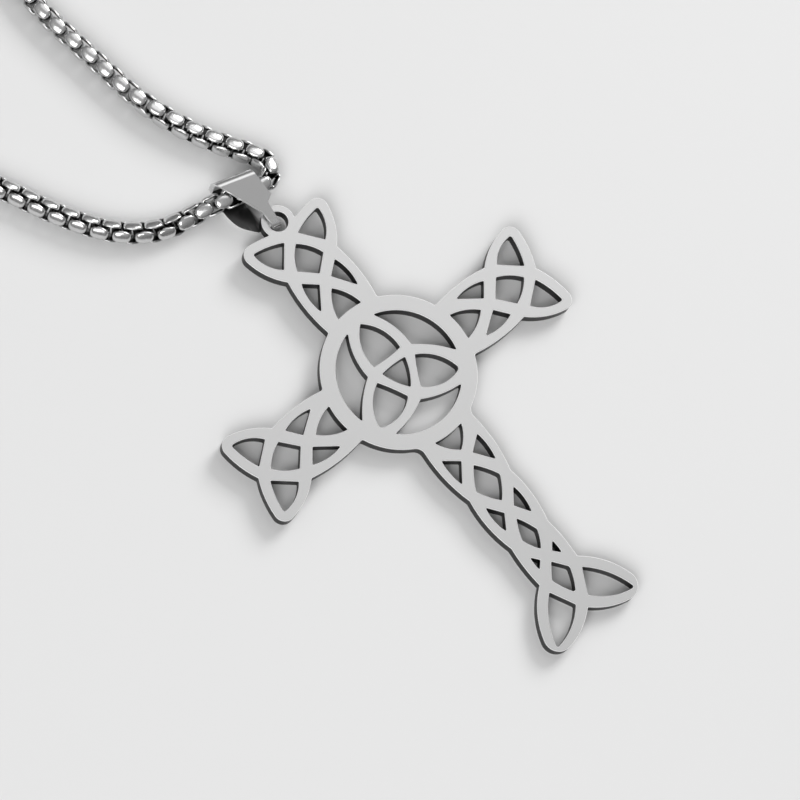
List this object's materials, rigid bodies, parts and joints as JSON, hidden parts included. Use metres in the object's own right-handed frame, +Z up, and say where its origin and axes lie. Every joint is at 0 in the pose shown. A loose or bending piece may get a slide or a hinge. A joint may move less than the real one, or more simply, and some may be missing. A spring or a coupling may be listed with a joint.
{
  "type": "cross pendant necklace",
  "caption": "Pierced openwork ring cross pendant on a folded tapered bail, strung on a long round box chain closed by a barrel clasp, lying flat.",
  "frame": {"origin": "bottom centre of the box around the necklace as it lies flat on a surface", "axes": "+Y from the cross towards the clasp, along the laid chain; +Z up from the surface"},
  "size_m": [0.1158, 0.3242, 0.0047],
  "materials": {
    "satin_steel": "satin stainless steel",
    "bail_steel": "polished stainless steel",
    "chain_steel": "polished stainless steel",
    "clasp_steel": "polished stainless steel"
  },
  "bodies": {
    "root": {"cross_plate": "satin_steel", "bail": "bail_steel", "chain": "chain_steel", "clasp": "clasp_steel"}
  },
  "joints": []
}
